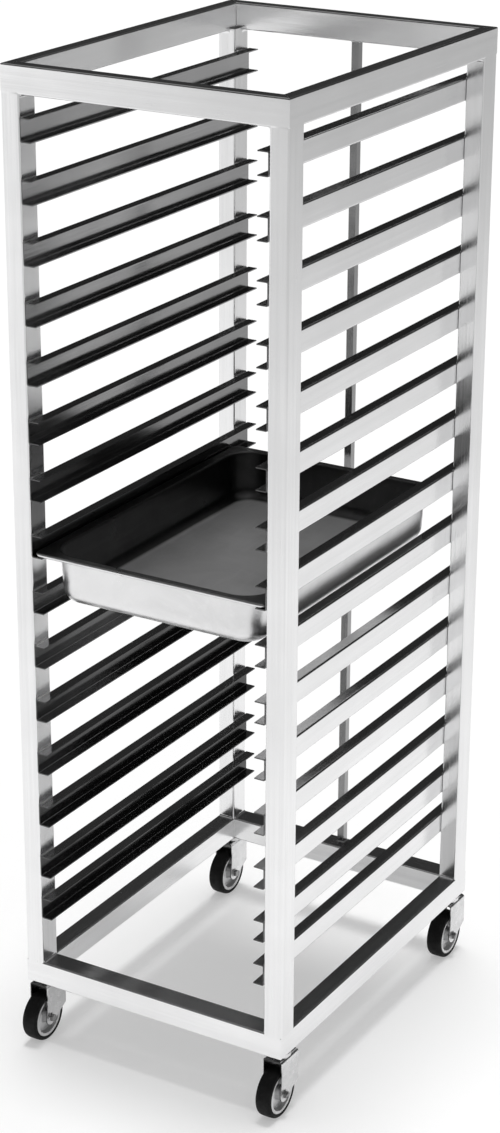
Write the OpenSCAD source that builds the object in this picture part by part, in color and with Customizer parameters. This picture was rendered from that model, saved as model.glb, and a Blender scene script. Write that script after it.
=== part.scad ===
// Sheet pan rack on four swivel casters, with channel runners and one pan.
// Front is -Y, where the pans go in. The origin is the middle of the footprint, on the floor.

/* [Rack] */
// Width over the outer faces of the posts
rack_w = 531; // [460:1:620]
// Depth over the outer faces of the posts
rack_d = 711; // [702:1:820]
// Length of a post, from the base ring up to the top ring
post_len = 1574; // [1400:1:1750]
// How far the base ring stands out past the posts
base_overhang = 0; // [0:0.5:12]

/* [Tubes] */
// Width of a post, across the rack
post_w = 35; // [28:1:42]
// Depth of a post, front to back
post_d = 45; // [30:1:55]
// Width of a top rail, seen from above
top_rail_w = 25; // [20:1:45]
// Height of a top rail
top_rail_h = 47.5; // [25:0.5:60]
// Width of the front and rear base rails, seen from above
base_end_rail_w = 43; // [36:1:50]
// Width of the side base rails, seen from above
base_side_rail_w = 35; // [34:1:50]
// Height of a base rail
base_rail_h = 45; // [36:1:60]
// Wall of every tube
tube_wall = 2; // [1.2:0.1:2.5]
// Outer corner radius of every tube
tube_round = 3; // [2.6:0.1:6]
// Side of the square bar that stops the pans at the back
stop_bar_w = 14; // [8:0.5:20]

/* [Runners] */
// Number of pan levels
levels = 15; // [8:1:15]
// Height of the lowest runner's underside above the base ring
lowest_runner_h = 92.5; // [20:0.5:110]
// Height from the lowest level up to the next one
lowest_step = 84; // [70:1:110]
// Height from the top of the highest runner up to the top ring
top_space = 36.7; // [20:0.1:60]
// Height of a channel runner
runner_h = 40; // [30:0.5:60]
// Width of a channel runner's flanges
runner_flange = 21; // [14:0.5:24]
// Sheet thickness of a runner
runner_t = 2; // [1.2:0.1:3]
// Outer bend radius of a runner
runner_bend = 3.5; // [3.2:0.1:5]

/* [Pan] */
// Level that holds the pan, counted from the top
pan_level = 8; // [2:1:14]
// Length of the pan, front to back
pan_len = 660; // [500:1:670]
// Depth of the pan, from the rim's top to its underside
pan_depth = 92; // [50:1:100]
// Gap between the pan's rim and each runner's web
pan_side_gap = 2; // [1:0.1:4]
// Width of the rim along each side
pan_side_flange = 21.5; // [19:0.5:60]
// Width of the rim at each end
pan_end_flange = 15; // [10:1:40]
// How far the walls lean in from the rim to the floor
pan_draft = 5; // [2:0.5:12]
// Radius between the walls and the floor
pan_floor_round = 25; // [8:0.5:30]
// Radius of the rim's outer corners
pan_rim_round = 12; // [6:1:30]
// Radius of the well's corners
pan_well_round = 50; // [36:1:80]
// Sheet thickness of the pan
pan_t = 1.5; // [1:0.1:3]
// Height of the hem that is turned down along the rim's edge
pan_hem_h = 8; // [3:0.5:10]
// Thickness of that hem
pan_hem_t = 2.5; // [1.5:0.1:4]

/* [Casters] */
// Diameter of a wheel over its tyre
wheel_d = 92; // [75:1:130]
// Width of a tyre
tyre_w = 30; // [20:1:32]
// Thickness of a tyre
tyre_t = 8; // [5:0.5:12]
// Radius of a tyre's shoulders
tyre_round = 5; // [2:0.5:6]
// Width of the wheel core at its hub
hub_w = 32; // [30:1:40]
// Diameter of the wheel core's hub
hub_d = 26; // [20:1:32]
// Width of the rim of the wheel core, under the tyre
core_rim_w = 28; // [18:1:30]
// Thickness of the rim of the wheel core
core_rim_t = 6.5; // [4:0.5:9]
// Thickness of the wheel core's web
core_web_t = 10; // [8:0.5:16]
// How far the flanks of the wheel core's hub and rim lean
core_lean = 2; // [1:0.5:3]
// Distance from the swivel axis back to the axle
caster_trail = 16; // [10:0.5:35]
// Distance of the swivel axis from the middle of the front and rear base rails
caster_set_back = 10; // [5:0.5:40]
// Distance of the swivel axis inside the middle of the side base rails
caster_in = 2; // [0:0.5:5]
// Sheet thickness of a fork
fork_t = 2.5; // [2:0.1:4.5]
// Outer bend radius of a fork, between its crown and its legs
fork_bend = 6; // [5.5:0.5:8]
// Reach of the fork's crown ahead of the swivel axis
crown_front = 31; // [24:0.5:45]
// Reach of the fork's crown behind the swivel axis
crown_back = 26; // [20:0.5:35]
// Height over which the front edge of the fork's legs runs straight down
leg_front_drop = 55; // [20:1:60]
// Height over which the back edge of the fork's legs runs straight down
leg_back_drop = 40; // [5:1:42]
// Radius of the fork's legs around the axle
fork_eye_r = 14; // [12:0.5:20]
// Diameter of the axle bolt
axle_d = 8; // [6:0.5:10]
// Outer diameter of the sleeve on the axle
sleeve_d = 12; // [11:0.5:16]
// Size across the flats of the axle bolt's head and nut
hex_flats = 13; // [12:0.5:18]
// Height of the axle bolt's head, and of its nut
hex_h = 6.5; // [4:0.5:8]
// Diameter of the king pin
king_pin_d = 12; // [8:0.5:16]
// Diameter of the king pin's lower head
king_head_d = 20; // [18:0.5:26]
// Height of the king pin's lower head
king_head_h = 3.7; // [2:0.1:5]
// Diameter of the swivel bearing's balls
ball_d = 6; // [4:0.5:7]
// Balls in one swivel bearing
ball_count = 10; // [6:1:11]
// Radius of the circle that the balls run on
ball_circle_r = 13; // [12:0.5:14]
// Thickness of the ball race on the caster's stem
race_t = 2.5; // [2.5:0.5:10]
// Thickness of the dust skirt around the balls
skirt_t = 2.5; // [1.5:0.1:4]
// Diameter of the caster's stem
stem_d = 11; // [8:0.5:12]
// Length of the caster's stem above the race
stem_len = 36; // [15:0.5:40]
// Outer diameter of the sleeve that takes the stem
socket_d = 16; // [14:0.5:16.5]

/* [Clearances] */
// Gap between a part that rests or runs and its seat
seat_gap = 0.3; // [0.2:0.05:0.5]
// Radial clearance of a shaft that turns in its hole
run_gap = 0.08; // [0.03:0.01:0.1]
// Radial clearance of a piece that is pushed or bolted in place
push_gap = 0.05; // [0.02:0.01:0.1]
// Gap between the wheel and the fork's crown
wheel_gap = 19; // [8:0.5:25]
// Gap between the wheel's hub and each leg of the fork
hub_gap = 1; // [0.5:0.1:3]
// Gap between the dust skirt and the fork's crown
skirt_gap = 1; // [0.5:0.1:2]

/* [Hidden] */
$fn = 48;
overcut = 1;
corner_fn = 32;
pan_slices = 8;

// Heights, from the floor up
axle_z = wheel_d / 2;
crown_z = wheel_d + wheel_gap;
crown_top = crown_z + fork_t;
ball_z = crown_top + ball_gap() / 2;
race_z = crown_top + ball_gap();
base_z = race_z + race_t;
base_top = base_z + base_rail_h;
ring_z = base_top + post_len;
function ball_gap() = 0.75 * ball_d;

// The rack's middle in Y, with the footprint's middle at the origin
base_half_d = rack_d / 2 + base_overhang;
caster_y = base_half_d - base_end_rail_w / 2 - caster_set_back;
front_reach = max(base_half_d, caster_y + max(crown_back, caster_trail + wheel_d / 2));
rear_reach = max(base_half_d, caster_y + max(crown_front, wheel_d / 2 - caster_trail));
rack_y = (front_reach - rear_reach) / 2;

// Size of the base ring
base_w = rack_w + 2 * base_overhang;
base_d = 2 * base_half_d;

// Places across the rack
post_x = rack_w / 2 - post_w / 2;
post_y = rack_d / 2 - post_d / 2;
runner_x = rack_w / 2 - post_w;
caster_x = base_w / 2 - base_side_rail_w / 2 - caster_in;
stop_bar_y = rack_d / 2 - top_rail_w / 2;

// Height from one level to the next, above the lowest step
level_pitch = (post_len - lowest_runner_h - lowest_step - runner_h - top_space) / (levels - 2);

// The pan, whose rim rides on the lower flanges of its runners
pan_w = 2 * (runner_x - runner_t - pan_side_gap);
pan_front = -rack_d / 2;
pan_rim_z = runner_z(pan_level) + runner_t + seat_gap + pan_hem_h;
well_w = pan_w - 2 * pan_side_flange;
well_len = pan_len - 2 * pan_end_flange;

// The fork and the wheel
fork_in = hub_w / 2 + hub_gap;
fork_out = fork_in + fork_t;
core_r = wheel_d / 2 - tyre_t;

corners = [["front_left", -1, -1], ["front_right", 1, -1], ["rear_left", -1, 1], ["rear_right", 1, 1]];
sides = [["left", -1], ["right", 1]];
ends = [["front", -1], ["rear", 1]];
corner_pieces = [
    "_post",
    "_caster_stem",
    "_fork",
    "_axle_bolt",
    "_axle_nut",
    "_axle_sleeve",
    "_wheel_core",
    "_tyre"
];

function runner_name(i) = str("runner_pair_", i < 10 ? "0" : "", i);
function runner_z(i) =
    base_top + lowest_runner_h + (i < levels ? lowest_step + (levels - 1 - i) * level_pitch : 0);

// Point where a line from p touches the circle of radius r around c, on the side +1 or -1
function touch_point(p, c, r, side) =
    let (d = p - c, u = d / norm(d), a = acos(r / norm(d)))
    c + r * [u[0] * cos(a) - side * u[1] * sin(a), side * u[0] * sin(a) + u[1] * cos(a)];

// Rectangle centred on the origin with round corners
module round_rect(w, d, r) {
    square([w - 2 * r, d], center = true);
    square([w, d - 2 * r], center = true);
    for (x = [-1, 1], y = [-1, 1]) translate([x * (w / 2 - r), y * (d / 2 - r)]) circle(r);
}

// Section of a tube
module tube_section(w, d) {
    difference() {
        round_rect(w, d, tube_round);
        round_rect(w - 2 * tube_wall, d - 2 * tube_wall, tube_round - tube_wall);
    }
}

// Tube along X with its outer face towards -Y and its middle on the origin. Both ends are
// mitred to meet a rail of width next_w
module mitred_tube(len, w, h, next_w) {
    intersection() {
        rotate([90, 0, 90]) linear_extrude(len, center = true) tube_section(w, h);
        linear_extrude(h + 2 * overcut, center = true)
            polygon([
                [-len / 2, -w / 2],
                [len / 2, -w / 2],
                [len / 2 - next_w, w / 2],
                [-len / 2 + next_w, w / 2]
            ]);
    }
}

// A post is wider than the top ring's rails, so its top is closed
module post(sx, sy) {
    color("silver")
        translate([sx * post_x, rack_y + sy * post_y, base_top]) {
            linear_extrude(post_len - tube_wall) tube_section(post_w, post_d);
            translate([0, 0, post_len - tube_wall])
                linear_extrude(tube_wall) round_rect(post_w, post_d, tube_round);
        }
}

// Front or rear rail of a ring of the given size, of width w, next to side rails of width next_w
module end_rail(sy, ring_w, ring_d, w, h, z, next_w) {
    translate([0, rack_y + sy * (ring_d / 2 - w / 2), z + h / 2])
        rotate([0, 0, sy > 0 ? 180 : 0]) mitred_tube(ring_w, w, h, next_w);
}

// Left or right rail of a ring of the given size, of width w, next to end rails of width next_w
module side_rail(sx, ring_w, ring_d, w, h, z, next_w) {
    translate([sx * (ring_w / 2 - w / 2), rack_y, z + h / 2])
        rotate([0, 0, sx * 90]) mitred_tube(ring_d, w, h, next_w);
}

module top_end_rail(sy) {
    color("silver") end_rail(sy, rack_w, rack_d, top_rail_w, top_rail_h, ring_z, top_rail_w);
}

module top_side_rail(sx) {
    color("silver") side_rail(sx, rack_w, rack_d, top_rail_w, top_rail_h, ring_z, top_rail_w);
}

// The holes in the base ring's underside for the casters' sockets, beside or across its mitres
module socket_holes() {
    for (c = corners)
        at_caster(c[1], c[2]) translate([0, 0, base_z - overcut])
            cylinder(d = socket_d + 2 * push_gap, h = tube_wall + 2 * overcut);
}

module base_end_rail(sy) {
    color("silver") difference() {
        end_rail(sy, base_w, base_d, base_end_rail_w, base_rail_h, base_z, base_side_rail_w);
        socket_holes();
    }
}

module base_side_rail(sx) {
    color("silver") difference() {
        side_rail(sx, base_w, base_d, base_side_rail_w, base_rail_h, base_z, base_end_rail_w);
        socket_holes();
    }
}

module rear_stop_bar() {
    color("gray")
        translate([-stop_bar_w / 2, rack_y + stop_bar_y - stop_bar_w / 2, base_top])
            cube([stop_bar_w, stop_bar_w, post_len]);
}

// Corner of a bent sheet: the quarter of the square r by r that lies outside the bend
module bend_corner(r) {
    difference() {
        square(r);
        translate([r, r]) circle(r);
    }
}

// Section of a channel runner, web at x = 0, flanges towards +x, underside at y = 0
module channel_section() {
    bend_in = runner_bend - runner_t;
    difference() {
        square([runner_flange, runner_h]);
        translate([runner_t, runner_t]) difference() {
            square([runner_flange, runner_h - 2 * runner_t]);
            bend_corner(bend_in);
            translate([0, runner_h - 2 * runner_t]) mirror([0, 1]) bend_corner(bend_in);
        }
        bend_corner(runner_bend);
        translate([0, runner_h]) mirror([0, 1]) bend_corner(runner_bend);
    }
}

// The left and right runners of one level, flush with the posts at the front and the back
module runner_pair(i) {
    color("lightgray")
        for (sx = [0, 1]) mirror([sx, 0, 0])
            translate([-runner_x, rack_y + rack_d / 2, runner_z(i)])
                rotate([90, 0, 0]) linear_extrude(rack_d) channel_section();
}

// One thin slice of the pan's well, taken in by the given amount
module well_slice(inset, z, thick) {
    w = well_w - 2 * inset;
    d = well_len - 2 * inset;
    r = pan_well_round - inset;
    translate([0, 0, z])
        linear_extrude(thick)
            for (x = [-1, 1], y = [-1, 1])
                translate([x * (w / 2 - r), y * (d / 2 - r)]) circle(r, $fn = corner_fn);
}

// The well as a solid from the floor up to z = 0: leaning walls and a round edge at the floor
module well_solid(inset, depth, edge_r, top) {
    slice_t = 0.01;
    hull() {
        well_slice(inset, top - slice_t, slice_t);
        for (k = [0 : pan_slices]) {
            a = 90 * k / pan_slices;
            rise = edge_r * (1 - sin(a));
            lean = pan_draft * (1 - rise / depth);
            well_slice(inset + lean + edge_r * (1 - cos(a)), rise - depth, slice_t);
        }
    }
}

// Outline of the pan's rim, taken in by the given amount
module rim_outline(inset) {
    round_rect(pan_w - 2 * inset, pan_len - 2 * inset, pan_rim_round - inset);
}

// The pan: a well with leaning walls and a flat rim with a hem turned down along its edge
module sheet_pan() {
    color("darkgray")
        translate([0, rack_y + pan_front + pan_len / 2, pan_rim_z]) {
            difference() {
                union() {
                    well_solid(0, pan_depth, pan_floor_round, 0);
                    translate([0, 0, -pan_t]) linear_extrude(pan_t) rim_outline(0);
                    translate([0, 0, -pan_hem_h]) linear_extrude(pan_hem_h) difference() {
                        rim_outline(0);
                        rim_outline(pan_hem_t);
                    }
                }
                well_solid(pan_t, pan_depth - pan_t, pan_floor_round - pan_t, overcut);
            }
        }
}

// Puts a caster's piece at its corner, with the swivel axis on the origin
module at_caster(sx, sy) {
    translate([sx * caster_x, rack_y + sy * caster_y, 0]) children();
}

// Puts a wheel's piece at its axle, with the piece's +Z pointing out of the rack's side
module at_axle(sx, sy) {
    at_caster(sx, sy) translate([0, -caster_trail, axle_z]) rotate([0, sx * 90, 0]) children();
}

module caster_sockets() {
    color("dimgray")
        for (c = corners)
            at_caster(c[1], c[2]) translate([0, 0, base_z]) difference() {
                cylinder(d = socket_d, h = base_rail_h - tube_wall);
                translate([0, 0, -overcut])
                    cylinder(d = stem_d + 2 * push_gap, h = base_rail_h + 2 * overcut);
            }
}

// The track that the balls run in, with clearance around them
module ball_track() {
    translate([0, 0, ball_z])
        rotate_extrude() translate([ball_circle_r, 0]) circle(d = ball_d + 2 * seat_gap);
}

// Stem, ball race with its dust skirt, and king pin with its lower head
module caster_stem(sx, sy) {
    skirt_in = ball_circle_r + ball_d / 2 + skirt_gap;
    skirt_out = skirt_in + skirt_t;
    pin_low = crown_z - seat_gap;
    color("gray") at_caster(sx, sy) difference() {
        rotate_extrude() polygon([
            [0, base_z + stem_len],
            [stem_d / 2, base_z + stem_len],
            [stem_d / 2, base_z],
            [skirt_out, base_z],
            [skirt_out, crown_top + skirt_gap],
            [skirt_in, crown_top + skirt_gap],
            [skirt_in, race_z],
            [king_pin_d / 2, race_z],
            [king_pin_d / 2, pin_low],
            [king_head_d / 2, pin_low],
            [king_head_d / 2, pin_low - king_head_h],
            [0, pin_low - king_head_h]
        ]);
        ball_track();
    }
}

module swivel_bearing_balls() {
    color("lightgray")
        for (c = corners)
            at_caster(c[1], c[2])
                for (k = [0 : ball_count - 1])
                    rotate([0, 0, 360 * k / ball_count])
                        translate([ball_circle_r, 0, ball_z]) sphere(d = ball_d);
}

// The fork as seen from the side, without its bow: the legs narrow down to the eye around the axle
module fork_side() {
    eye = [-caster_trail, axle_z];
    front = [crown_front, crown_z - leg_front_drop];
    back = [-crown_back, crown_z - leg_back_drop];
    // The edges aim just inside the eye, so that they cross its circle
    aim_r = 0.96 * fork_eye_r;
    translate(eye) cylinder(r = fork_eye_r, h = 2 * fork_out, center = true);
    linear_extrude(2 * fork_out, center = true) polygon([
        back,
        [-crown_back, crown_top],
        [crown_front, crown_top],
        front,
        touch_point(front, eye, aim_r, -1),
        eye,
        touch_point(back, eye, aim_r, 1)
    ]);
}

// The fork's outline from the front: a plate bent down at both sides
module fork_bow() {
    bend_in = fork_bend - fork_t;
    difference() {
        translate([-fork_out, 0]) square([2 * fork_out, crown_top]);
        translate([-fork_in, -overcut]) difference() {
            square([2 * fork_in, crown_z + overcut]);
            translate([0, crown_z + overcut]) mirror([0, 1]) bend_corner(bend_in);
            translate([2 * fork_in, crown_z + overcut]) rotate(180) bend_corner(bend_in);
        }
        translate([-fork_out, crown_top]) mirror([0, 1]) bend_corner(fork_bend);
        translate([fork_out, crown_top]) rotate(180) bend_corner(fork_bend);
    }
}

module fork(sx, sy) {
    bow_len = 2 * (caster_trail + crown_front + crown_back);
    color("gainsboro") difference() {
        at_caster(sx, sy) difference() {
            intersection() {
                rotate([90, 0, 90]) fork_side();
                rotate([90, 0, 0]) linear_extrude(bow_len, center = true) fork_bow();
            }
            translate([0, 0, crown_z - overcut])
                cylinder(d = king_pin_d + 2 * run_gap, h = fork_t + 2 * overcut);
            ball_track();
        }
        at_axle(sx, sy)
            cylinder(d = axle_d + 2 * push_gap, h = 2 * fork_out + 2 * overcut, center = true);
    }
}

// Axle bolt, with its head on the inner side and its end flush with the nut on the outer side
module axle_bolt(sx, sy) {
    color("gray") at_axle(sx, sy) {
        translate([0, 0, -fork_out]) cylinder(d = axle_d, h = 2 * fork_out + hex_h);
        translate([0, 0, -fork_out - hex_h]) hexagon();
    }
}

module hexagon() {
    cylinder(d = hex_flats / cos(30), h = hex_h, $fn = 6);
}

module axle_nut(sx, sy) {
    color("gray") at_axle(sx, sy) translate([0, 0, fork_out]) difference() {
        hexagon();
        translate([0, 0, -overcut]) cylinder(d = axle_d + 2 * push_gap, h = hex_h + 2 * overcut);
    }
}

module axle_sleeve(sx, sy) {
    color("dimgray") at_axle(sx, sy) difference() {
        cylinder(d = sleeve_d, h = 2 * fork_in, center = true);
        cylinder(d = axle_d + 2 * push_gap, h = 2 * fork_in + 2 * overcut, center = true);
    }
}

// Wheel core: hub, web and rim, turned from one section
module wheel_core(sx, sy) {
    bore_r = sleeve_d / 2 + run_gap;
    rim_in = core_r - core_rim_t;
    half = [
        [bore_r, hub_w / 2],
        [hub_d / 2 - core_lean, hub_w / 2],
        [hub_d / 2 + core_lean, core_web_t / 2],
        [rim_in - core_lean, core_web_t / 2],
        [rim_in, core_rim_w / 2],
        [core_r, core_rim_w / 2]
    ];
    color("lightgray") at_axle(sx, sy) rotate_extrude()
        polygon(concat(half, [for (k = [len(half) - 1 : -1 : 0]) [half[k][0], -half[k][1]]]));
}

// Tyre: a band with round shoulders
module tyre(sx, sy) {
    tyre_in = core_r + seat_gap;
    color("black") at_axle(sx, sy) rotate_extrude() difference() {
        translate([tyre_in, -tyre_w / 2]) square([wheel_d / 2 - tyre_in, tyre_w]);
        for (y = [0, 1])
            mirror([0, y]) translate([wheel_d / 2, tyre_w / 2]) rotate(180) bend_corner(tyre_round);
    }
}

for (c = corners) {
    post(c[1], c[2]);
    caster_stem(c[1], c[2]);
    fork(c[1], c[2]);
    axle_bolt(c[1], c[2]);
    axle_nut(c[1], c[2]);
    axle_sleeve(c[1], c[2]);
    wheel_core(c[1], c[2]);
    tyre(c[1], c[2]);
}
for (e = ends) {
    top_end_rail(e[1]);
    base_end_rail(e[1]);
}
for (s = sides) {
    top_side_rail(s[1]);
    base_side_rail(s[1]);
}
for (i = [1 : levels]) {
    runner_pair(i);
}
rear_stop_bar();
caster_sockets();
swivel_bearing_balls();
sheet_pan();
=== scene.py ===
"""Looks for the sheet pan rack.

Camera, floor, light and materials, and the pieces that need more form than the solids have.
"""
import math

import bmesh
import bpy
from mathutils import Matrix, Vector


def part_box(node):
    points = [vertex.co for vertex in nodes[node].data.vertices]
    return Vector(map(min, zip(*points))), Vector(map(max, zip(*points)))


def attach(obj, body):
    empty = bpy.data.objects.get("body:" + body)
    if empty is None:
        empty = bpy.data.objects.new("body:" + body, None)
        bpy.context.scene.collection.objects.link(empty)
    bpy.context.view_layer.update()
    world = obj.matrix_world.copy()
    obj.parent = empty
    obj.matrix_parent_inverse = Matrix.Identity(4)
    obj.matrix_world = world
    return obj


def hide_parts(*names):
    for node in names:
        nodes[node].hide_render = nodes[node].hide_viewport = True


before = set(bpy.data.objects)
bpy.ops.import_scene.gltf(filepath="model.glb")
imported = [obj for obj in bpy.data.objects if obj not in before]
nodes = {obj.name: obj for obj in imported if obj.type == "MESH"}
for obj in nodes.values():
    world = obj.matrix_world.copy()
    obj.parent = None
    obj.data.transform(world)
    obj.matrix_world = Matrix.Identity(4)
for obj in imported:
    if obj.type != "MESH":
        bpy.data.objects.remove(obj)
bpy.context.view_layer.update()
scene = bpy.context.scene

CORNERS = ("front_left", "front_right", "rear_left", "rear_right")
LEVELS = sorted(n for n in nodes if n.startswith("runner_pair_"))
TUBE_ROUND = 0.003

# Camera, fitted to the photo's straight edges
IMAGE_H = 1133
FOCAL_PX = 2635.45
SENSOR_MM = 36
AZIMUTH, ELEVATION, ROLL = (math.radians(a) for a in (30.658, 21.578, 0.247))
CAMERA_AT = Vector((2.2094, -3.73045, 2.5822))
VIEW_REACH = 200


def make_camera():
    level = math.cos(ELEVATION)
    ahead = Vector((-math.sin(AZIMUTH) * level, math.cos(AZIMUTH) * level, -math.sin(ELEVATION)))
    right = Vector((math.cos(AZIMUTH), math.sin(AZIMUTH), 0))
    up = right.cross(ahead)
    x_axis = math.cos(ROLL) * right + math.sin(ROLL) * up
    y_axis = -math.sin(ROLL) * right + math.cos(ROLL) * up
    data = bpy.data.cameras.new("camera")
    data.sensor_fit = "VERTICAL"
    data.sensor_height = SENSOR_MM
    data.lens = FOCAL_PX / IMAGE_H * SENSOR_MM
    data.clip_end = VIEW_REACH
    cam = bpy.data.objects.new("camera", data)
    cam.matrix_world = Matrix((
        (x_axis.x, y_axis.x, -ahead.x, CAMERA_AT.x),
        (x_axis.y, y_axis.y, -ahead.y, CAMERA_AT.y),
        (x_axis.z, y_axis.z, -ahead.z, CAMERA_AT.z),
        (0, 0, 0, 1),
    ))
    scene.collection.objects.link(cam)
    scene.camera = cam


# Node helpers
class Tree:
    """Makes shader nodes and links them by socket name."""

    def __init__(self, tree):
        self.tree = tree
        tree.nodes.clear()

    def add(self, kind, inputs=None, **props):
        n = self.tree.nodes.new(kind)
        for k, v in props.items():
            setattr(n, k, v)
        for k, v in (inputs or {}).items():
            self.fill(n.inputs[k], v)
        return n

    def fill(self, socket, value):
        if isinstance(value, bpy.types.NodeSocket):
            self.tree.links.new(value, socket)
        else:
            socket.default_value = value

    def place(self):
        return self.add("ShaderNodeTexCoord").outputs["Object"]

    def normal(self):
        return self.add("ShaderNodeNewGeometry").outputs["Normal"]

    def split(self, vector):
        return self.add("ShaderNodeSeparateXYZ", {"Vector": vector}).outputs

    def noise(self, at, scale, detail=3.0, rough=0.55, distort=0.0):
        inputs = {"Vector": at, "Scale": scale, "Detail": detail, "Roughness": rough, "Distortion": distort}
        return self.add("ShaderNodeTexNoise", inputs).outputs["Fac"]

    def patches(self, scale, detail=3.0, rough=0.55, distort=0.0):
        """Noise with the same scale along every axis."""
        return self.noise(self.place(), scale, detail, rough, distort)

    def streaks(self, scales, detail):
        """Noise with a scale of its own along each axis."""
        at = self.add("ShaderNodeMapping", {"Vector": self.place(), "Scale": scales}).outputs["Vector"]
        return self.noise(at, 1.0, detail)

    def remap(self, value, lo, hi, a, b):
        inputs = {"Value": value, "From Min": lo, "From Max": hi, "To Min": a, "To Max": b}
        return self.add("ShaderNodeMapRange", inputs).outputs["Result"]

    def math(self, op, a, b=0.0):
        return self.add("ShaderNodeMath", {0: a, 1: b}, operation=op).outputs[0]

    def vector(self, op, a, b):
        return self.add("ShaderNodeVectorMath", {0: a, 1: b}, operation=op).outputs

    def mix(self, share, a, b):
        n = self.add("ShaderNodeMix", {"Factor": share}, data_type="RGBA")
        for key, v in (("A", a), ("B", b)):
            self.fill([s for s in n.inputs if s.name == key and s.type == "RGBA"][0], v)
        return [s for s in n.outputs if s.type == "RGBA"][0]

    def worn(self, patch, mark, clean, dull, marked):
        """A grey that goes from clean to dull by patch, and from there to marked by mark."""
        return self.mix(mark, self.mix(patch, grey(clean), grey(dull)), grey(marked))


COOL = 1.005


def grey(v):
    return (v, v, v * COOL, 1.0)


def surface(name, metallic, colour, rough, bump=None, depth=0.0002, strength=0.2, **constants):
    """A Principled material.

    Colour, rough and bump are functions of the tree that give sockets, and so is metallic if it
    isn't a number. Depth is the bump's height in metres.
    """
    mat = bpy.data.materials.new(name)
    mat.use_nodes = True
    t = Tree(mat.node_tree)
    metal = metallic(t) if callable(metallic) else metallic
    inputs = {"Metallic": metal, "Base Color": colour(t), "Roughness": rough(t)}
    bsdf = t.add("ShaderNodeBsdfPrincipled", inputs)
    for k, v in constants.items():
        bsdf.inputs[k].default_value = v
    if bump:
        relief = t.add("ShaderNodeBump", {"Strength": strength, "Distance": depth, "Height": bump(t)})
        t.fill(bsdf.inputs["Normal"], relief.outputs["Normal"])
    t.add("ShaderNodeOutputMaterial", {"Surface": bsdf.outputs["BSDF"]})
    return mat


def blotched(first, second, scale, detail, rough=0.55, span=(0.35, 0.7), share=1.0):
    """A colour function: two greys, mixed by patches."""
    def colour(t):
        patch = t.remap(t.patches(scale, detail, rough), *span, 0, share)
        return t.mix(patch, grey(first), grey(second))

    return colour


def uneven(low, high, scale, detail=3.0):
    """A roughness function: between two values, by patches."""
    return lambda t: t.remap(t.patches(scale, detail), 0.3, 0.7, low, high)


def pitted(scale, detail):
    """A bump function: plain noise."""
    return lambda t: t.patches(scale, detail)


# Satin metal: posts, rails, stop bar and runners
FINE_ACROSS, FINE_ALONG = 650.0, 5.0
COARSE_ACROSS, COARSE_ALONG = 120.0, 2.0
RUB_ACROSS, RUB_ALONG = 500.0, 4.0
FRAME_TONE, FRAME_ROUGH = 0.88, 0.22
# share of painted shade on the base rails' upper faces
BASE_TOP_SHADE = 0.45
BAR_TONE, BAR_ROUGH = 0.34, 0.24
RUNNER_ROUGH = 0.17


def drawn(across, along, axis):
    """Noise scales for streaks that run along one axis (0, 1 or 2)."""
    scales = [across, across, across]
    scales[axis] = along
    return scales


def satin(name, colour, rough, axis):
    """Satin aluminium with fine streaks along one axis."""
    fine = drawn(FINE_ACROSS, FINE_ALONG, axis)

    def roughness(t):
        streak = t.remap(t.streaks(fine, 2.0), 0.3, 0.7, rough - 0.04, rough + 0.04)
        return t.math("ADD", streak, t.remap(t.patches(9.0, 4.0), 0.35, 0.7, -0.02, 0.03))

    return surface(name, 1.0, colour, roughness, lambda t: t.streaks(fine, 2.0), 0.00012, 0.12)


def brushed(name, tone, rough, axis, top_shade=0.0):
    """Satin tube with soft, handled patches; the last argument paints shade on its upper faces, dulling them.
    """
    coarse = drawn(COARSE_ACROSS, COARSE_ALONG, axis)

    def colour(t):
        patch = t.patches(5.0, 4.0)
        handled = t.remap(patch, 0.3, 0.7, 0, 1)
        streak = t.remap(t.streaks(coarse, 3.0), 0.35, 0.75, 0, 0.5)
        clean = t.worn(handled, streak, tone * 0.94, tone * 1.04, tone * 0.86)
        if not top_shade:
            return clean
        # painted shade: upper faces are mixed towards near black
        upper = t.remap(t.split(t.normal())["Z"], 0.6, 0.95, 0, 1)
        top_shade_share = t.remap(patch, 0.3, 0.7, top_shade * 0.85, top_shade)
        return t.mix(t.math("MULTIPLY", upper, top_shade_share), clean, grey(0.06))

    return satin(name, colour, rough, axis)


FRAME = [brushed(f"frame_{a}", FRAME_TONE, FRAME_ROUGH, i) for i, a in enumerate("xyz")]
BASE = [brushed(f"base_{a}", FRAME_TONE, FRAME_ROUGH, i, BASE_TOP_SHADE) for i, a in enumerate("xy")]
BAR = brushed("stop_bar", BAR_TONE, BAR_ROUGH, 2)

WEB_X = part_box(LEVELS[0])[1].x
WEB_SKIN = (0.0016, 0.0004)
# painted shade on the channel's inner web: none from the first height up, full from the second height down
LOW_SHADE_FROM, LOW_SHADE_TO = 1.6, 0.7


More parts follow.
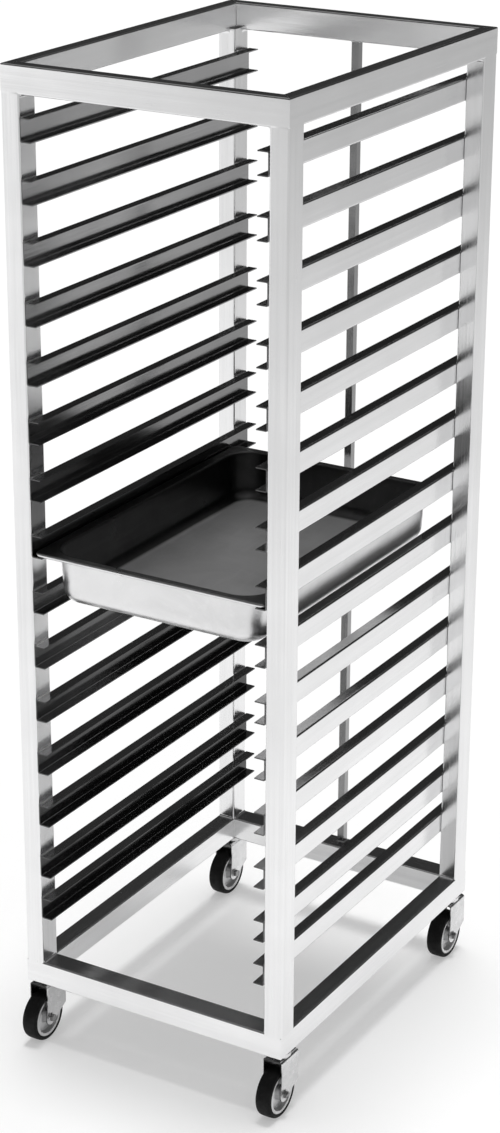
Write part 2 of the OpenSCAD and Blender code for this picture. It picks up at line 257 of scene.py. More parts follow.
def runner_colour(t):
    """Bright on the web's outer face; inside the channel and on the cut ends, painted shade makes it dull and
    dark.

    Inside the channel the web carries more painted shade on the lower levels.
    """
    at = t.split(t.place())
    normal = t.split(t.normal())
    outer = t.remap(t.math("ABSOLUTE", at["X"]), WEB_X - WEB_SKIN[0], WEB_X - WEB_SKIN[1], 0, 1)
    patch = t.remap(t.patches(5.0, 4.0), 0.3, 0.7, 0, 1)
    streak = t.remap(t.streaks(drawn(COARSE_ACROSS, COARSE_ALONG, 1), 3.0), 0.35, 0.75, 0, 0.5)
    rub = t.remap(t.streaks(drawn(RUB_ACROSS, RUB_ALONG, 1), 3.0), 0.55, 0.75, 0, 0.5)
    bright = t.worn(patch, streak, 0.82, 0.89, 0.75)
    # painted shade inside the channel, lightened by real rub marks, and more painted shade on the lower
    # levels' inner web
    channel_shade_and_rubs = t.worn(patch, rub, 0.40, 0.48, 0.62)
    low_web_shade = t.worn(patch, rub, 0.06, 0.08, 0.11)
    web = t.remap(t.math("ABSOLUTE", normal["X"]), 0.5, 0.8, 0, 1)
    low = t.math("MULTIPLY", web, t.remap(at["Z"], LOW_SHADE_TO, LOW_SHADE_FROM, 1, 0))
    # painted shade on the cut ends
    cut = t.remap(t.math("ABSOLUTE", normal["Y"]), 0.75, 0.9, 0, 1)
    sides = t.mix(outer, t.mix(low, channel_shade_and_rubs, low_web_shade), bright)
    return t.mix(cut, sides, t.mix(patch, grey(0.07), grey(0.14)))


RUNNER = satin("runner", runner_colour, RUNNER_ROUGH, 1)

# The pan's finish, with painted shade on the well's inner walls and on the rim
FLOOR_BAND = (0.005, 0.010)
RIM_BAND = (0.006, 0.003)


def pan_zones(t):
    """How far a point lies on the well's inner walls, on its floor and on the rim, each from 0 to 1."""
    lo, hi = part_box("sheet_pan")
    at, normal = t.place(), t.normal()
    z, up = t.split(at)["Z"], t.split(normal)["Z"]
    middle = ((lo.x + hi.x) / 2, (lo.y + hi.y) / 2, 0)
    outward = t.vector("SUBTRACT", at, middle)[0]
    level = t.vector("MULTIPLY", normal, (1, 1, 0))[0]
    facing = t.vector("DOT_PRODUCT", level, outward)["Value"]
    wall = t.remap(facing, -0.03, -0.10, 0, 1)
    near_floor = t.remap(z, lo.z + FLOOR_BAND[0], lo.z + FLOOR_BAND[1], 1, 0)
    near_rim = t.remap(z, hi.z - RIM_BAND[0], hi.z - RIM_BAND[1], 0, 1)
    floor = t.math("MULTIPLY", near_floor, t.remap(up, 0.88, 0.985, 0, 1))
    rim = t.math("MULTIPLY", near_rim, t.remap(up, 0.5, 0.85, 0, 1))
    return wall, floor, rim


def pan_colour(t):
    stain = t.remap(t.patches(7.0, 6.0, 0.65, 0.6), 0.42, 0.72, 0, 1)
    scratch = t.remap(t.streaks((60, 6, 60), 4.0), 0.55, 0.7, 0, 0.35)
    wall, floor, rim = pan_zones(t)
    outside = t.worn(stain, scratch, 0.84, 0.72, 0.90)
    # painted shade: the rim and the well's inner walls are dark copies of the sheet's grey
    edge = t.worn(stain, scratch, 0.24, 0.18, 0.32)
    walls = t.worn(stain, scratch, 0.11, 0.08, 0.15)
    base = t.worn(stain, scratch, 0.60, 0.50, 0.66)
    return t.mix(floor, t.mix(wall, t.mix(rim, outside, edge), walls), base)


def pan_rough(t):
    stain = t.remap(t.patches(11.0, 5.0), 0.3, 0.7, 0.27, 0.36)
    return t.math("ADD", stain, t.math("MULTIPLY", pan_zones(t)[1], 0.06))


def pan_metal(t):
    """Bare sheet, with a baked-on film over the floor."""
    return t.remap(pan_zones(t)[1], 0, 1, 1.0, 0.78)


PAN = surface("pan", pan_metal, pan_colour, pan_rough, lambda t: t.streaks((240, 40, 240), 3.0), 0.0002, 0.1)

# Casters and welds
FORK_SKIN = (0.0018, 0.0010)


def zinc_colour(t):
    cells = t.add("ShaderNodeTexVoronoi", {"Vector": t.place(), "Scale": 260.0})
    spangle = t.remap(cells.outputs["Distance"], 0.0, 0.8, 0, 0.25)
    return t.worn(t.remap(t.patches(30.0, 4.0), 0.35, 0.7, 0, 1), spangle, 0.72, 0.60, 0.88)


def fork_colour(t):
    """Zinc outside; the faces towards the wheel are painted black as shade, in patches."""
    lo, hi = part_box("front_right_fork")
    middle, half = (lo.x + hi.x) / 2, (hi.x - lo.x) / 2
    x = t.split(t.place())["X"]
    off = t.math("SUBTRACT", t.math("ABSOLUTE", x), middle)
    deep = t.remap(t.math("ABSOLUTE", off), half - FORK_SKIN[0], half - FORK_SKIN[1], 1, 0)
    # the bend's outer face lies as far in as the inner faces do, but looks away from the wheel
    away = t.math("SIGN", t.math("MULTIPLY", x, off))
    looks_away = t.math("MULTIPLY", t.split(t.normal())["X"], away)
    inside = t.math("MULTIPLY", deep, t.remap(looks_away, 0.15, 0.3, 1, 0))
    # painted shade on the faces towards the wheel
    inner_shade = t.mix(t.patches(90.0, 4.0), grey(0.035), grey(0.075))
    return t.mix(inside, zinc_colour(t), inner_shade)


ZINC_FINISH = (uneven(0.22, 0.38, 60.0, 4.0), pitted(500.0, 2.0), 0.0001, 0.15)
ZINC = surface("caster_zinc", 1.0, zinc_colour, *ZINC_FINISH)
FORK = surface("caster_fork", 1.0, fork_colour, *ZINC_FINISH)
DULL = surface("axle_steel", 1.0, blotched(0.36, 0.22, 120.0, 5.0),
               uneven(0.3, 0.48, 200.0), pitted(900.0, 2.0), 0.0001, 0.15)
BALL = surface("ball_steel", 1.0, blotched(0.86, 0.78, 300.0, 3.0, span=(0, 1)), uneven(0.06, 0.14, 200.0))
CORE = surface("wheel_core", 0.85, blotched(0.80, 0.68, 45.0, 5.0, 0.6, (0.35, 0.72)),
               uneven(0.36, 0.52, 90.0, 4.0), pitted(700.0, 3.0), 0.0003, 0.2)
RUBBER = surface("tyre_rubber", 0.0, blotched(0.006, 0.022, 55.0, 6.0, 0.65, (0.5, 0.78), 0.6),
                 uneven(0.6, 0.8, 80.0, 4.0), pitted(1200.0, 3.0), 0.0002, 0.25,
                 **{"Specular IOR Level": 0.25})
WELD = surface("weld", 1.0, blotched(0.80, 0.62, 160.0, 4.0),
               uneven(0.26, 0.42, 220.0), pitted(800.0, 2.0), 0.0002, 0.2)


def paint(node, mat):
    for s in nodes[node].material_slots:
        s.material = mat


def paint_nodes():
    caster_mats = {"caster_stem": ZINC, "fork": FORK, "axle_bolt": DULL, "axle_nut": DULL,
                   "axle_sleeve": DULL, "wheel_core": CORE, "tyre": RUBBER}
    for c in CORNERS:
        paint(f"{c}_post", FRAME[2])
        for piece, mat in caster_mats.items():
            paint(f"{c}_{piece}", mat)
    for side, axis in (("front", 0), ("rear", 0), ("left", 1), ("right", 1)):
        paint(f"top_{side}_rail", FRAME[axis])
        paint(f"base_{side}_rail", BASE[axis])
    for n in LEVELS:
        paint(n, RUNNER)
    paint("rear_stop_bar", BAR)
    paint("caster_sockets", DULL)
    paint("swivel_bearing_balls", BALL)
    paint("sheet_pan", PAN)


# Mesh helpers
def make_object(name, verts, faces, mat, body, sharp=None):
    """A smooth mesh that rides on a body; sharp is the angle in degrees over which an edge stays hard."""
    mesh = bpy.data.meshes.new(name)
    mesh.from_pydata([tuple(v) for v in verts], [], faces)
    mesh.materials.append(mat)
    bm = bmesh.new()
    bm.from_mesh(mesh)
    bmesh.ops.recalc_face_normals(bm, faces=bm.faces)
    bm.to_mesh(mesh)
    bm.free()
    mesh.shade_smooth()
    if sharp is not None:
        mesh.set_sharp_from_angle(angle=math.radians(sharp))
    o = bpy.data.objects.new(name, mesh)
    scene.collection.objects.link(o)
    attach(o, body)
    return o


def skin(n, rings, caps=(True, True), loop=False, start=0):
    """Faces between rings of n points each.

    The first and last ring are capped if asked, or joined to each other by loop.
    """
    faces = []
    for k in range(rings if loop else rings - 1):
        a, b = start + k * n, start + (k + 1) % rings * n
        for i in range(n):
            j = (i + 1) % n
            faces.append((a + i, a + j, b + j, b + i))
    if caps[0] and not loop:
        faces.append(tuple(start + i for i in reversed(range(n))))
    if caps[1] and not loop:
        faces.append(tuple(start + (rings - 1) * n + i for i in range(n)))
    return faces


def arc(cx, cy, r, a0, a1, steps):
    """Points on a circle from one angle to another, in degrees."""
    angles = [math.radians(a0 + (a1 - a0) * k / steps) for k in range(steps + 1)]
    return [(cx + r * math.cos(a), cy + r * math.sin(a)) for a in angles]


def round_rect(hx, hy, r, per_corner, per_side=1):
    """Points round a rectangle with round corners, given by half its width and half its depth."""
    corners = ((1, 1, 0), (-1, 1, 90), (-1, -1, 180), (1, -1, 270))
    arcs = [arc(sx * (hx - r), sy * (hy - r), r, a, a + 90, per_corner) for sx, sy, a in corners]
    points = []
    for i, corner in enumerate(arcs):
        (ax, ay), (bx, by) = corner[-1], arcs[(i + 1) % len(arcs)][0]
        points += corner
        for k in range(1, per_side):
            points.append((ax + (bx - ax) * k / per_side, ay + (by - ay) * k / per_side))
    return points


def lathe(name, profile, at, axis, mat, body, segments=64, sharp=38):
    """Turns a closed profile of (radius, along) points about an axis through at."""
    axis = Vector(axis).normalized()
    side = axis.orthogonal().normalized()
    up = axis.cross(side)
    verts = []
    for s in range(segments):
        a = 2 * math.pi * s / segments
        radial = side * math.cos(a) + up * math.sin(a)
        verts += [Vector(at) + radial * r + axis * h for r, h in profile]
    return make_object(name, verts, skin(len(profile), segments, loop=True), mat, body, sharp)


# Welds
class Beads:
    """Weld beads gathered in one mesh: each is a rippled rod along a path, rounded at its ends."""
    SIDES = 7
    STEP = 0.0011
    PITCH = 0.0032
    WAVER, WAVER_TURN = 0.06, 4.03
    END_LEAST, END_REACH = 0.03, 2.2

    def __init__(self):
        self.verts, self.faces = [], []

    def walk(self, path, closed):
        """Points along a path, about a step apart."""
        path = [Vector(p) for p in path]
        points = []
        for a, b in zip(path, path[1:] + path[:1] if closed else path[1:]):
            m = max(1, round((b - a).length / self.STEP))
            points += [a.lerp(b, i / m) for i in range(m)]
        return points if closed else points + path[-1:]

    def add(self, path, radius, closed=False, flat=1.0, up=Vector((0, 0, 1)), ripple=0.12, seed=0.0):
        points = self.walk(path, closed)
        total, start = len(points), len(self.verts)
        for k, p in enumerate(points):
            before = points[k - 1 if closed else max(k - 1, 0)]
            after = points[(k + 1) % total if closed else min(k + 1, total - 1)]
            ahead = (after - before).normalized()
            side = ahead.cross(up).normalized()
            lift = side.cross(ahead).normalized()
            gone = k * self.STEP / self.PITCH
            waver = self.WAVER * math.sin(self.WAVER_TURN * gone + 3 * seed)
            r = radius * (1 + ripple * math.sin(2 * math.pi * gone + seed) + waver)
            if not closed:
                to_end = min(k, total - 1 - k) * self.STEP
                r *= min(1.0, math.sqrt(max(self.END_LEAST, to_end / (self.END_REACH * radius))))
            for i in range(self.SIDES):
                a = 2 * math.pi * i / self.SIDES
                self.verts.append(p + side * (r * math.cos(a)) + lift * (r * flat * math.sin(a)))
        self.faces += skin(self.SIDES, total, loop=closed, start=start)

    def make(self, name):
        return make_object(name, self.verts, self.faces, WELD, "rack")


RUNNER_BEAD_R = 0.002
RUNNER_BEAD_IN = 0.0009
RUNNER_BEAD_SHORT = 0.0025
BAR_BEAD_R = 0.0017
BAR_BEAD_IN, BAR_BEAD_OUT, BAR_ROUND = 0.0002, 0.0003, 0.0015
MITRE_BEAD_R, MITRE_BEAD_FLAT, MITRE_BEAD_RIPPLE = 0.0014, 0.62, 0.05
MITRE_BEAD_SHORT, MITRE_BEAD_IN = 0.003, 0.00075
CORNER_BEAD_R = 0.002
CORNER_BEAD_SHORT, CORNER_BEAD_IN = 0.005, 0.0006


def make_runner_welds():
    beads = Beads()
    for level, n in enumerate(LEVELS):
        lo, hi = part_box(n)
        for sx in (-1, 1):
            x = sx * (hi.x - RUNNER_BEAD_IN)
            for z in (lo.z + RUNNER_BEAD_IN, hi.z - RUNNER_BEAD_IN):
                for c in CORNERS:
                    plo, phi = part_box(f"{c}_post")
                    if (plo.x + phi.x) * sx < 0:
                        continue
                    # any seed will do that differs from bead to bead
                    seed = level * 1.7 + z * 90 + plo.y * 40 + sx
                    ends = [(x, plo.y + RUNNER_BEAD_SHORT, z), (x, phi.y - RUNNER_BEAD_SHORT, z)]
                    beads.add(ends, RUNNER_BEAD_R, seed=seed)
    beads.make("runner_welds")


def make_frame_welds():
    """Beads round the stop bar's ends, and on the mitres of both rings, on top and in the inner corner."""
    beads = Beads()
    short = MITRE_BEAD_SHORT
    lo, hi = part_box("rear_stop_bar")
    mid, half = (lo + hi) / 2, (hi.x - lo.x) / 2 + BAR_BEAD_OUT
    for z in (lo.z + BAR_BEAD_IN, hi.z - BAR_BEAD_IN):
        path = [(mid.x + x, mid.y + y, z) for x, y in round_rect(half, half, BAR_ROUND, 3)]
        beads.add(path, BAR_BEAD_R, closed=True, seed=z)
    for ring in ("top", "base"):
        flo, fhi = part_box(f"{ring}_front_rail")
        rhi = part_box(f"{ring}_rear_rail")[1]
        slo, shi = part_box(f"{ring}_left_rail")
        wx, wy = shi.x - slo.x, fhi.y - flo.y
        for sx, x in ((-1, flo.x), (1, fhi.x)):
            for sy, y in ((-1, flo.y), (1, rhi.y)):
                mitre = []
                for dx, dy in ((short, short), (wx - short, wy - short)):
                    mitre.append((x - sx * dx, y - sy * dy, fhi.z - MITRE_BEAD_IN))
                beads.add(mitre, MITRE_BEAD_R, flat=MITRE_BEAD_FLAT, ripple=MITRE_BEAD_RIPPLE, seed=x + y)
                corner = []
                for z in (flo.z + CORNER_BEAD_SHORT, fhi.z - CORNER_BEAD_SHORT):
                    corner.append((x - sx * (wx - CORNER_BEAD_IN), y - sy * (wy - CORNER_BEAD_IN), z))
                beads.add(corner, CORNER_BEAD_R, up=Vector((1, 0, 0)), seed=x * 3 + y)
    beads.make("frame_welds")


TOP_FILLET, BASE_FILLET = 0.006, 0.004
FILLET_SUNK = 0.001
FILLET_STEPS = 6
POST_CORNER_STEPS = 5


def hollow_fillet(r):
    """A fillet's section, as points (away from the post, away from the rail)."""
    section = [(-FILLET_SUNK, -FILLET_SUNK), (r, -FILLET_SUNK)]
    for k in range(FILLET_STEPS + 1):
        a = math.radians(90 * k / FILLET_STEPS)
        section.append((r - r * math.sin(a), r - r * math.cos(a)))
    return section + [(-FILLET_SUNK, r)]


def make_ground_joints():
    """Joints of post and ring: ground flush outside, with a hollow fillet in each inner corner."""
    for c in CORNERS:
        lo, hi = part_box(f"{c}_post")
        mid, half = (lo + hi) / 2, (hi - lo) / 2
        sx, sy = (1 if mid.x > 0 else -1), (1 if mid.y > 0 else -1)
        x_in, x_out = mid.x - sx * half.x, mid.x + sx * half.x
        y_in, y_out = mid.y - sy * half.y, mid.y + sy * half.y
        outline = round_rect(half.x, half.y, TUBE_ROUND, POST_CORNER_STEPS)
        verts, faces = [], []
        for ring, z, up, r in (("top", hi.z, 1, TOP_FILLET), ("base", lo.z, -1, BASE_FILLET)):
            # the post's outline, carried on over the rail's round edge
            start = len(verts)
            for level in (z, z + up * TUBE_ROUND):
                verts += [(mid.x + x, mid.y + y, level) for x, y in outline]
            faces += skin(len(outline), 2, start=start)
            # one fillet lies across the side rail, the other across the front or rear rail
            elo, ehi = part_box(f"{ring}_front_rail")
            slo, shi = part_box(f"{ring}_left_rail")
            fillet = hollow_fillet(r)
            for along_y, rail in ((False, shi.x - slo.x), (True, ehi.y - elo.y)):
                start = len(verts)
                for f in (TUBE_ROUND, rail - TUBE_ROUND):
                    for off, away in fillet:
                        x = x_in - sx * off if along_y else x_out - sx * f
                        y = y_out - sy * f if along_y else y_in - sy * off
                        verts.append((x, y, z - up * away))
                faces += skin(len(fillet), 2, start=start)
        make_object(f"{c}_ground_joint", verts, faces, FRAME[2], "rack", 30)


# The pan
PAN_SHEET = 0.0013
PAN_SIDE, PAN_END = 0.0215, 0.015
PAN_LEAN = 0.005
ROLL_R, LIP_R, FLOOR_R = 0.004, 0.004, 0.025
RIM_ROUND, WELL_ROUND, LEAST_ROUND = 0.012, 0.050, 0.004
ROLL_FROM, ROLL_TURN = -150, 240
RIM_HOLLOW, FLOOR_RISE = 0.0004, 0.0012
FLOOR_RINGS, FLOOR_REACH = (0.15, 0.4, 0.7, 0.95), 0.98
ROLL_STEPS, RIM_STEPS, LIP_STEPS, WALL_STEPS, FOOT_STEPS = 12, 8, 6, 6, 8
PAN_PER_CORNER, PAN_PER_SIDE = 16, 12


def pan_section(half_w, depth):
    """The sheet's upper face, from under its rolled edge to the middle of the floor.

    Each point is its inset from the side, its inset from the end, its height above the rim and the
    radius of the corner there.
    """
    section = []
    # rolled edge, from under the rim round the outside to its top
    for k in range(ROLL_STEPS + 1):
        a = math.radians(ROLL_FROM + ROLL_TURN * k / ROLL_STEPS)
        inset = ROLL_R - ROLL_R * math.cos(a)
        section.append((inset, inset, -ROLL_R + ROLL_R * math.sin(a), RIM_ROUND - inset))
    # rim, faintly hollow halfway
    lip_in = PAN_SHEET - LIP_R
    for k in range(1, RIM_STEPS):
        f = k / RIM_STEPS
        ix = ROLL_R + f * (PAN_SIDE + lip_in - ROLL_R)
        iy = ROLL_R + f * (PAN_END + lip_in - ROLL_R)
        dip = -RIM_HOLLOW * math.sin(math.pi * f)
        section.append((ix, iy, dip, RIM_ROUND - ROLL_R + f * (WELL_ROUND - RIM_ROUND + ROLL_R)))

    def well_point(inset, z, r):
        section.append((PAN_SIDE + inset, PAN_END + inset, z, r))

    # lip that rolls over into the wall
    wall_a = math.atan2(PAN_LEAN, depth)
    turn = math.pi / 2 - wall_a
    for k in range(LIP_STEPS + 1):
        a = turn * k / LIP_STEPS
        grow = LIP_R * math.sin(a)
        well_point(lip_in + grow, -LIP_R * (1 - math.cos(a)), WELL_ROUND + LIP_R - grow)
    # leaning wall
    wall_in, wall_z = section[-1][0] - PAN_SIDE, section[-1][2]
    floor_z, foot_r = -depth + PAN_SHEET, FLOOR_R - PAN_SHEET
    foot_z = floor_z + foot_r * (1 - math.cos(turn))
    for k in range(1, WALL_STEPS + 1):
        z = wall_z + (foot_z - wall_z) * k / WALL_STEPS
        inset = wall_in + (wall_z - z) * math.tan(wall_a)
        well_point(inset, z, WELL_ROUND - inset)
    # round foot
    foot_in = wall_in + (wall_z - foot_z) * math.tan(wall_a)
    for k in range(1, FOOT_STEPS + 1):
        a = turn * (1 - k / FOOT_STEPS)
        inset = foot_in + foot_r * (math.sin(turn) - math.sin(a))
        well_point(inset, floor_z + foot_r * (1 - math.cos(a)), max(LEAST_ROUND, WELL_ROUND - inset))
    # floor, with a slight rise towards the middle
    ix, iy, _, r = section[-1]
    for f in FLOOR_RINGS:
        inward = f * (half_w - ix) * FLOOR_REACH
        section.append((ix + inward, iy + inward, floor_z + FLOOR_RISE * f, max(LEAST_ROUND, r * (1 - f))))
    return section


def make_pan():
    lo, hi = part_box("sheet_pan")
    mid, half = (lo + hi) / 2, (hi - lo) / 2
    section = pan_section(half.x, hi.z - lo.z)
    verts = []
    for ix, iy, z, r in section:
        ring = round_rect(half.x - ix, half.y - iy, r, PAN_PER_CORNER, PAN_PER_SIDE)
        verts += [(mid.x + x, mid.y + y, hi.z + z) for x, y in ring]
    faces = skin(len(ring), len(section), (False, True))
    pan = make_object("deep_pan", verts, faces, PAN, "pan", sharp=50)
    if pan.data.polygons[-1].normal.z < 0:
        pan.data.flip_normals()
    solid = pan.modifiers.new("sheet", "SOLIDIFY")
    solid.thickness = PAN_SHEET
    solid.offset = -1
    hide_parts("sheet_pan")


# Casters
X_AXIS = (1, 0, 0)
WHEEL_SEGMENTS, WASHER_SEGMENTS, BOLT_SEGMENTS = 72, 48, 32
TYRE_GAP = 0.0003
SHOULDER_R, SHOULDER_DEEP, SHOULDER_END = 0.005, 0.0055, 0.0052
CROWN, MOULD_LINE, TREAD_STEPS = 0.0004, 0.00025, 6


def make_tyre(c):
    """Crowned tread with a fine mould line in the middle and round shoulders."""
    lo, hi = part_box(f"{c}_tyre")
    clo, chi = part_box(f"{c}_wheel_core")
    mid, half, r_out = (lo + hi) / 2, (hi.x - lo.x) / 2, (hi.z - lo.z) / 2
    inner = (chi.y - clo.y) / 2 + TYRE_GAP
    edge = [(inner, -half), (r_out - SHOULDER_END, -half)]
    edge += arc(r_out - SHOULDER_DEEP, -half + SHOULDER_R, SHOULDER_R, -85, -8, 8)
    tread = []
    for k in range(-TREAD_STEPS, TREAD_STEPS + 1):
        f = k / TREAD_STEPS
        groove = MOULD_LINE if abs(k) == 1 else 0
        tread.append((r_out - CROWN * f ** 2 - groove, (half - SHOULDER_END) * f))
    profile = edge + tread + [(r, -h) for r, h in reversed(edge)]
    tyre = lathe(f"{c}_tyre_tread", profile, mid, X_AXIS, RUBBER, f"{c}_wheel", WHEEL_SEGMENTS)
    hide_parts(f"{c}_tyre")


CORE_BORE, BORE_BREAK = 0.00608, 0.0006
HUB_R, HUB_EDGE = 0.0108, 0.0012
HUB_FOOT_R, HUB_FOOT_H = 0.0126, 0.0090
WEB_FILLET, WEB_HALF = 0.003, 0.0046
HUB_FILLET_R, HUB_FILLET_H = 0.0158, 0.0078
WEB_FROM_R, WEB_TO_IN = 0.022, 0.013
RIM_FILLET_IN, RIM_FILLET_H = 0.0102, 0.0076
RIM_FACE_IN, RIM_FACE_H = 0.0064, 0.0128
RIM_EDGE, RIM_EDGE_IN, RIM_EDGE_H = 0.001, 0.0053, 0.0130
RIM_HALF, RIM_BREAK = 0.014, 0.0008


def make_wheel_core(c):
    """Hub, dished web and rim with soft fillets."""
    lo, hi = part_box(f"{c}_wheel_core")
    tlo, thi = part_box(f"{c}_tyre")
    mid, rim, hub = (tlo + thi) / 2, (hi.y - lo.y) / 2, (hi.x - lo.x) / 2
    face = [(CORE_BORE, hub - BORE_BREAK), (CORE_BORE + BORE_BREAK, hub), (HUB_R, hub)]
    face += arc(HUB_R, hub - HUB_EDGE, HUB_EDGE, 90, 0, 4)
    face += [(HUB_FOOT_R, HUB_FOOT_H)]
    face += arc(HUB_FILLET_R, HUB_FILLET_H, WEB_FILLET, 180, 270, 5)
    face += [(WEB_FROM_R, WEB_HALF), (rim - WEB_TO_IN, WEB_HALF)]
    face += arc(rim - RIM_FILLET_IN, RIM_FILLET_H, WEB_FILLET, -90, -15, 5)
    face += [(rim - RIM_FACE_IN, RIM_FACE_H)]
    face += arc(rim - RIM_EDGE_IN, RIM_EDGE_H, RIM_EDGE, 180, 90, 4)
    face += [(rim - RIM_BREAK, RIM_HALF), (rim, RIM_HALF - RIM_BREAK)]
    profile = face + [(r, -h) for r, h in reversed(face)]
    core = lathe(f"{c}_wheel_disc", profile, mid, X_AXIS, CORE, f"{c}_wheel", WHEEL_SEGMENTS)
    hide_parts(f"{c}_wheel_core")


HEX_FLATS, HEX_PER_FLAT = 0.013, 8
HEX_CHAMFER = math.radians(32)
HEX_CUT, HEX_FOOT, HEX_FOOT_BREAK = 1.015, 0.97, 0.0004
HEX_TOP = 0.985
HEAD_RING, HEAD_RISE, HEAD_FACE = 0.40, 0.00005, 0.39
COLLAR_R, COLLAR_RISE, COLLAR_FACE = 0.43, 0.55, 0.37
HOLE_BREAK_R, HOLE_BREAK_H = 0.0004, 0.0006


def hex_head(at, axis, height, hole=0.0, collar=0.0):
    """Vertices and faces of a hexagon with chamfered corners.

    Collar is the height of a lock nut's round top.
    """
    side = Vector((0, 0, 1))
    up = axis.cross(side)
    n = 6 * HEX_PER_FLAT
    inscribed = HEX_FLATS / 2
    cut = inscribed * HEX_CUT
    body_h = height - collar
    foot, lower, upper, spokes = [], [], [], []
    for i in range(n):
        a = 2 * math.pi * i / n
        r = inscribed / math.cos(math.radians(math.degrees(a) % 60 - 30))
        radial = side * math.cos(a) + up * math.sin(a)
        drop = max(0.0, r - cut) * math.tan(HEX_CHAMFER)
        foot.append(at + radial * (inscribed * HEX_FOOT))
        lower.append(at + radial * r + axis * (HEX_FOOT_BREAK + drop))
        upper.append(at + radial * r + axis * (body_h - drop))
        spokes.append(radial)
    turned = [(cut * HEX_TOP, body_h)]
    if collar:
        turned += [(HEX_FLATS * COLLAR_R, body_h), (HEX_FLATS * COLLAR_R, body_h + collar * COLLAR_RISE)]
        turned += [(HEX_FLATS * COLLAR_FACE, height)]
    else:
        turned += [(HEX_FLATS * HEAD_RING, body_h + HEAD_RISE), (HEX_FLATS * HEAD_FACE, height)]
    if hole:
        turned += [(hole + HOLE_BREAK_R, height), (hole, height - HOLE_BREAK_H), (hole, 0.0)]
    rings = [foot, lower, upper]
    rings += [[at + d * r + axis * h for d in spokes] for r, h in turned]
    return [v for ring in rings for v in ring], skin(n, len(rings), loop=bool(hole))


WASHER_T, WASHER_BORE, WASHER_R = 0.0012, 0.0043, 0.0085
WASHER_EDGE, WASHER_LOWER_IN, WASHER_UPPER_IN = 0.0003, 0.0002, 0.0004
NUT_HOLE, NUT_COLLAR, NUT_SHORT = 0.0041, 0.0016, 0.0004
BOLT_R, BOLT_TIP_R, BOLT_TIP_H = 0.004, 0.0033, 0.0008


def make_washer(name, at, axis, swivel):
    profile = [(WASHER_BORE, 0.0), (WASHER_R - WASHER_LOWER_IN, 0.0), (WASHER_R, WASHER_EDGE)]
    profile += [(WASHER_R, WASHER_T - WASHER_EDGE), (WASHER_R - WASHER_UPPER_IN, WASHER_T)]
    profile += [(WASHER_BORE, WASHER_T)]
    lathe(name, profile, at, axis, ZINC, swivel, WASHER_SEGMENTS, 30)


def make_axle(c):
    """Bolt with its head on the rack's inner side, lock nut on the outer side, a washer under each."""
    swivel = f"{c}_swivel"
    tlo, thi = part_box(f"{c}_tyre")
    mid = (tlo + thi) / 2
    out = 1 if mid.x > 0 else -1
    outward = Vector((out, 0, 0))
    leg_in, leg_out = (v.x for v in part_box(f"{c}_fork")[::out])
    head_end, tip = (v.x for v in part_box(f"{c}_axle_bolt")[::out])

    nut_at = Vector((leg_out + out * WASHER_T, mid.y, mid.z))
    nut_h = abs(tip - leg_out) - WASHER_T - NUT_SHORT
    verts, faces = hex_head(nut_at, outward, nut_h, NUT_HOLE, NUT_COLLAR)
    nut = make_object(f"{c}_lock_nut", verts, faces, DULL, swivel, 25)
    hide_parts(f"{c}_axle_nut")
    make_washer(f"{c}_nut_washer", (leg_out, mid.y, mid.z), outward, swivel)

    head_at = Vector((leg_in - out * WASHER_T, mid.y, mid.z))
    verts, faces = hex_head(head_at, -outward, abs(head_end - leg_in) - WASHER_T)
    length = abs(tip - head_at.x)
    shank = ((BOLT_R, 0.0), (BOLT_R, length - BOLT_TIP_H), (BOLT_TIP_R, length))
    faces += skin(BOLT_SEGMENTS, len(shank), start=len(verts))
    for r, h in shank:
        for i in range(BOLT_SEGMENTS):
            a = 2 * math.pi * i / BOLT_SEGMENTS
            verts.append(head_at + Vector((out * h, r * math.cos(a), r * math.sin(a))))
    bolt = make_object(f"{c}_bolt", verts, faces, DULL, swivel, 25)
    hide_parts(f"{c}_axle_bolt")
    make_washer(f"{c}_head_washer", (leg_in, mid.y, mid.z), -outward, swivel)


def make_casters():
    for c in CORNERS:
        make_tyre(c)
        make_wheel_core(c)
        make_axle(c)


# Floor, world and light
FLOOR_SIZE = 60.0
FLOOR_GLOW = 0.36
FLOOR_TONES = (0.65, 0.67)
POOL_NEAR, POOL_FAR, POOL_LEAST = 1.0, 8.0, 0.52
WHITE = (1, 1, 1, 1)
SKY = ((0.0, 0.30), (0.10, 0.03), (0.30, 0.02), (0.50, 0.05), (0.75, 0.15), (1.0, 0.45))
SKY_FILL = 0.28
# name, strength, angle in degrees and direction of each lamp
LAMPS = (("key", 2.1, 18, (0.015, -0.07, -1.0)), ("side", 0.25, 60, (-0.5, 0.4, -1.0)))


def floor_level(t, camera_ray):
    """White to the camera; for what the metal mirrors, a painted pool of light that is darker far off and
    lighter ahead on the left.
    """
    at = t.place()
    xyz = t.split(at)
    reach = t.add("ShaderNodeVectorMath", {0: at}, operation="LENGTH").outputs["Value"]
    pool = t.remap(reach, POOL_NEAR, POOL_FAR, 1.0, POOL_LEAST)
    slant = t.math("DIVIDE", xyz["X"], t.math("MINIMUM", xyz["Y"], -0.3))
    left = t.remap(slant, 0.50, 0.73, 0.62, 1.02)
    ahead = t.remap(xyz["Y"], -0.6, -1.2, 0, 1)
    return t.mix(camera_ray, t.math("MAXIMUM", pool, t.math("MULTIPLY", left, ahead)), WHITE)


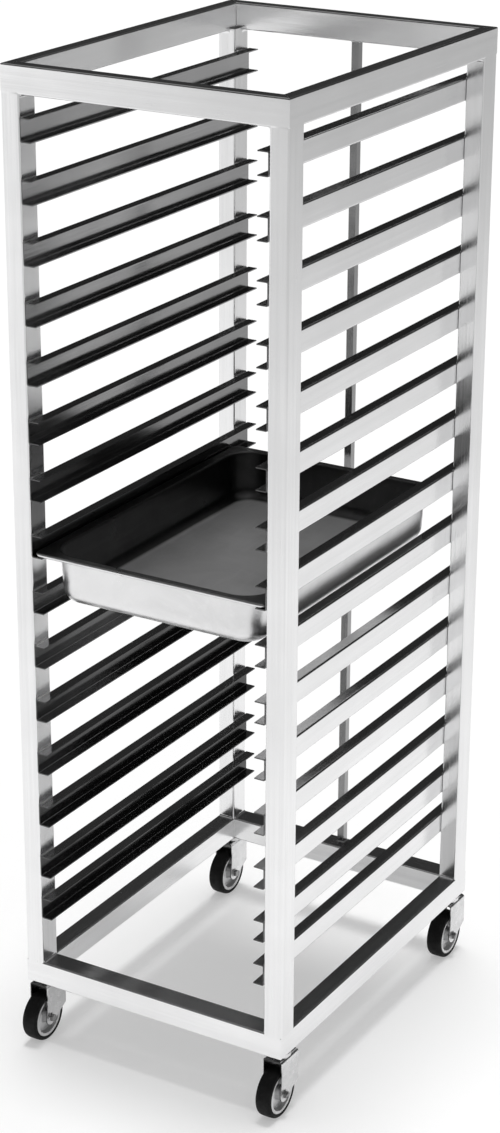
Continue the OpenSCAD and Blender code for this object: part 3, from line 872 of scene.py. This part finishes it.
def make_floor():
    s = FLOOR_SIZE
    mesh = bpy.data.meshes.new("floor")
    mesh.from_pydata([(-s, -s, 0), (s, -s, 0), (s, s, 0), (-s, s, 0)], [], [(0, 1, 2, 3)])
    floor = bpy.data.objects.new("floor", mesh)
    scene.collection.objects.link(floor)
    mat = bpy.data.materials.new("floor")
    mat.use_nodes = True
    mesh.materials.append(mat)
    t = Tree(mat.node_tree)
    ray = t.add("ShaderNodeLightPath").outputs
    level = floor_level(t, ray["Is Camera Ray"])
    mirrored = t.math("MAXIMUM", ray["Is Glossy Ray"], ray["Is Transmission Ray"])
    seen = t.math("MAXIMUM", ray["Is Camera Ray"], mirrored)
    strength = t.math("MULTIPLY", t.math("MULTIPLY", seen, level), FLOOR_GLOW)
    glow = t.add("ShaderNodeEmission", {"Color": WHITE, "Strength": strength})
    value = t.math("MULTIPLY", level, t.remap(t.patches(2.5), 0.3, 0.7, *FLOOR_TONES))
    tint = t.add("ShaderNodeCombineColor", {"Red": value, "Green": value, "Blue": value})
    matt = t.add("ShaderNodeBsdfDiffuse", {"Color": tint.outputs["Color"]})
    both = t.add("ShaderNodeAddShader", {0: glow.outputs[0], 1: matt.outputs[0]})
    t.add("ShaderNodeOutputMaterial", {"Surface": both.outputs[0]})


def make_world():
    """White to the camera, an even fill for matt surfaces and a ramp from floor to zenith for reflections."""
    world = bpy.data.worlds.new("world")
    scene.world = world
    world.use_nodes = True
    t = Tree(world.node_tree)
    ray = t.add("ShaderNodeLightPath").outputs
    up = t.split(t.add("ShaderNodeTexCoord").outputs["Generated"])["Z"]
    ramp = t.add("ShaderNodeValToRGB", {"Fac": up})
    stops = ramp.color_ramp.elements
    while len(stops) < len(SKY):
        stops.new(0.5)
    for stop, (position, v) in zip(stops, SKY):
        stop.position = position
        stop.color = (v, v, v, 1)
    sky = t.add("ShaderNodeBackground", {"Color": ramp.outputs["Color"], "Strength": 1.0})
    fill = t.add("ShaderNodeBackground", {"Color": WHITE, "Strength": SKY_FILL})
    white = t.add("ShaderNodeBackground", {"Color": WHITE, "Strength": 1.0})
    soft = t.add("ShaderNodeMixShader", {0: ray["Is Diffuse Ray"], 1: sky.outputs[0], 2: fill.outputs[0]})
    back = t.add("ShaderNodeMixShader", {0: ray["Is Camera Ray"], 1: soft.outputs[0], 2: white.outputs[0]})
    t.add("ShaderNodeOutputWorld", {"Surface": back.outputs[0]})


def make_lamps():
    """Two soft suns, kept out of reflections so that upper faces don't clip to white from above."""
    for name, strength, angle, toward in LAMPS:
        light = bpy.data.lights.new(name, "SUN")
        light.energy = strength
        light.angle = math.radians(angle)
        o = bpy.data.objects.new(name, light)
        o.rotation_euler = Vector(toward).to_track_quat("-Z", "Y").to_euler()
        o.visible_glossy = False
        scene.collection.objects.link(o)


make_camera()
paint_nodes()
make_runner_welds()
make_frame_welds()
make_ground_joints()
make_pan()
make_casters()
make_floor()
make_world()
make_lamps()
scene.view_settings.view_transform = "Standard"
